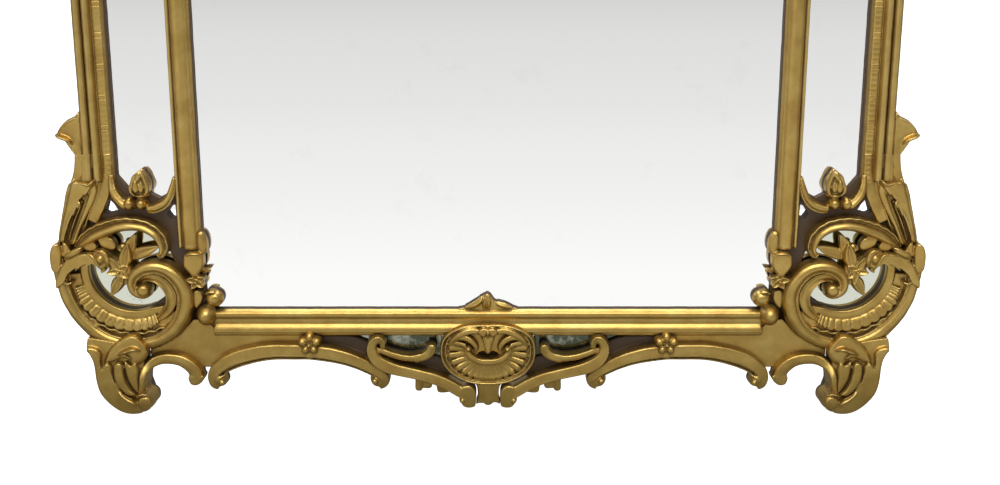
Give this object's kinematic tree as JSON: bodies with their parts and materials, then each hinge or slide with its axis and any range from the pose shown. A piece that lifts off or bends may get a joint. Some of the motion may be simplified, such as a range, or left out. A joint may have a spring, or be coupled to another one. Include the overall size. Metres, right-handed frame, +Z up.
{
  "type": "trumeau mirror",
  "caption": "Tall giltwood wall mirror with an arched middle plate, a narrow margin plate at each side, scroll-carved corners, a pierced apron with a shell, and two scroll feet.",
  "frame": {"origin": "middle of the rear face of the base batten, which lies on the wall", "axes": "+Z up, -Y out of the wall towards the viewer, +X to the viewer's right"},
  "size_m": [1.224, 0.08, 1.816],
  "materials": {
    "gilt": "burnished gold leaf and gold paint over gesso, worn",
    "mirror_glass": "silvered glass, aged",
    "pine": "bare sawn pine, darkened",
    "hanger_steel": "dull plated steel"
  },
  "bodies": {
    "frame": {"bottom_rail": "gilt", "top_rail": "gilt", "apron_shell": "gilt", "sight_leaf": "gilt", "crest_shell": "gilt", "main_plate": "mirror_glass", "backboard_centre": "pine", "base_batten": "pine", "upper_batten": "pine", "inner_stile_right": "gilt", "inner_stile_left": "gilt", "outer_stile_right": "gilt", "outer_stile_left": "gilt", "corner_block_right": "gilt", "corner_block_left": "gilt", "corner_scroll_right": "gilt", "corner_scroll_left": "gilt", "corner_crook_right": "gilt", "corner_crook_left": "gilt", "corner_leaf_right": "gilt", "corner_leaf_left": "gilt", "corner_spray_right": "gilt", "corner_spray_left": "gilt", "bud_right": "gilt", "bud_left": "gilt", "bead_drop_right": "gilt", "bead_drop_left": "gilt", "foot_right": "gilt", "foot_left": "gilt", "foot_arch_right": "gilt", "foot_arch_left": "gilt", "spandrel_right": "gilt", "spandrel_left": "gilt", "apron_arch_right": "gilt", "apron_arch_left": "gilt", "arch_rosette_right": "gilt", "arch_rosette_left": "gilt", "apron_scroll_right": "gilt", "apron_scroll_left": "gilt", "ear_right": "gilt", "ear_left": "gilt", "crest_scroll_right": "gilt", "crest_scroll_left": "gilt", "crest_leaf_right": "gilt", "crest_leaf_left": "gilt", "shoulder_right": "gilt", "shoulder_left": "gilt", "side_plate_right": "mirror_glass", "side_plate_left": "mirror_glass", "corner_plate_right": "mirror_glass", "corner_plate_left": "mirror_glass", "apron_plate_right": "mirror_glass", "apron_plate_left": "mirror_glass", "backboard_side_right": "pine", "backboard_side_left": "pine", "hanger_strap_right": "hanger_steel", "hanger_strap_left": "hanger_steel"},
    "ring_right": {"hanger_ring_right": "hanger_steel"},
    "ring_left": {"hanger_ring_left": "hanger_steel"}
  },
  "joints": [
    {"name": "ring_right_swing", "type": "hinge", "parent": "frame", "child": "ring_right", "pos_m": [0.54, -0.01025, 1.09814], "axis": [1, 0, 0], "range_deg": [0, 180]},
    {"name": "ring_left_swing", "type": "hinge", "parent": "frame", "child": "ring_left", "pos_m": [-0.54, -0.01025, 1.09814], "axis": [1, 0, 0], "range_deg": [0, 180]}
  ]
}
